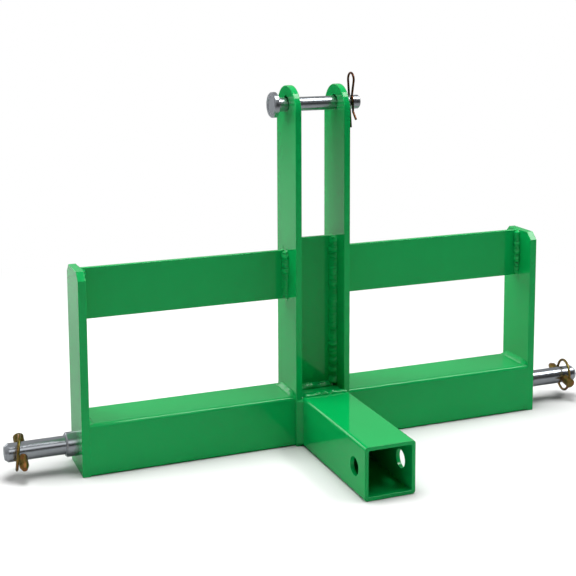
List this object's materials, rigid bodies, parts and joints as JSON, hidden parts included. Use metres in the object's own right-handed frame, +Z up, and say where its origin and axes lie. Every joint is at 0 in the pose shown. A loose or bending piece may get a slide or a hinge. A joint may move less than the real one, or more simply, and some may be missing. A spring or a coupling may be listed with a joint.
{
  "type": "three point receiver hitch",
  "caption": "Welded tractor carrier frame with a square receiver tube, a top link mast, two lower link pins and flat bars for hanging weights.",
  "frame": {"origin": "on the ground, straight under the middle of the line through the two lower hitch pins and on the receiver's centre line", "axes": "+X along the crossbeam, +Y back to the tractor, +Z up; the receiver opens to -Y"},
  "size_m": [0.79, 0.2499, 0.467],
  "materials": {
    "green_enamel": "glossy green enamel over steel plate and tube",
    "weld_enamel": "the same green enamel over rippled weld beads",
    "zinc_steel": "turned steel with bright zinc plating",
    "yellow_zinc": "yellow zinc plating on steel",
    "bronzed_wire": "dark yellow zinc plating on spring wire"
  },
  "bodies": {
    "frame": {"receiver_tube": "green_enamel", "centre_block": "green_enamel", "crossbeam_left": "green_enamel", "crossbeam_right": "green_enamel", "mast_plate_left": "green_enamel", "mast_plate_right": "green_enamel", "end_plate_left": "green_enamel", "end_plate_right": "green_enamel", "upper_bar_left": "green_enamel", "upper_bar_right": "green_enamel", "centre_plate": "green_enamel", "lower_pin_left": "zinc_steel", "lower_pin_right": "zinc_steel", "linch_pin_left": "yellow_zinc", "linch_pin_right": "yellow_zinc", "weld_receiver": "weld_enamel", "weld_centre_plate": "weld_enamel", "weld_bar_to_mast_left": "weld_enamel", "weld_bar_to_mast_right": "weld_enamel", "weld_bar_to_end_left": "weld_enamel", "weld_bar_to_end_right": "weld_enamel", "weld_beam_to_mast_left": "weld_enamel", "weld_beam_to_mast_right": "weld_enamel", "weld_beam_to_end_left": "weld_enamel", "weld_beam_to_end_right": "weld_enamel", "weld_pin_left": "weld_enamel", "weld_pin_right": "weld_enamel"},
    "top_pin": {"top_link_pin": "zinc_steel", "top_pin_clip": "bronzed_wire"},
    "ring_left": {"linch_ring_left": "yellow_zinc"},
    "ring_right": {"linch_ring_right": "yellow_zinc"}
  },
  "joints": [
    {"name": "top_pin_turn", "type": "hinge", "parent": "frame", "child": "top_pin", "pos_m": [0, -0.00317, 0.42865], "axis": [1, 0, 0], "continuous": true},
    {"name": "ring_left_hinge", "type": "hinge", "parent": "frame", "child": "ring_left", "pos_m": [-0.37545, 0.01545, 0.03997], "axis": [0, 0.4695, -0.8829], "range_deg": [0, 175]},
    {"name": "ring_right_hinge", "type": "hinge", "parent": "frame", "child": "ring_right", "pos_m": [0.37545, -0.01888, 0.02687], "axis": [0, 0.2504, -0.9681], "range_deg": [0, 175]}
  ]
}
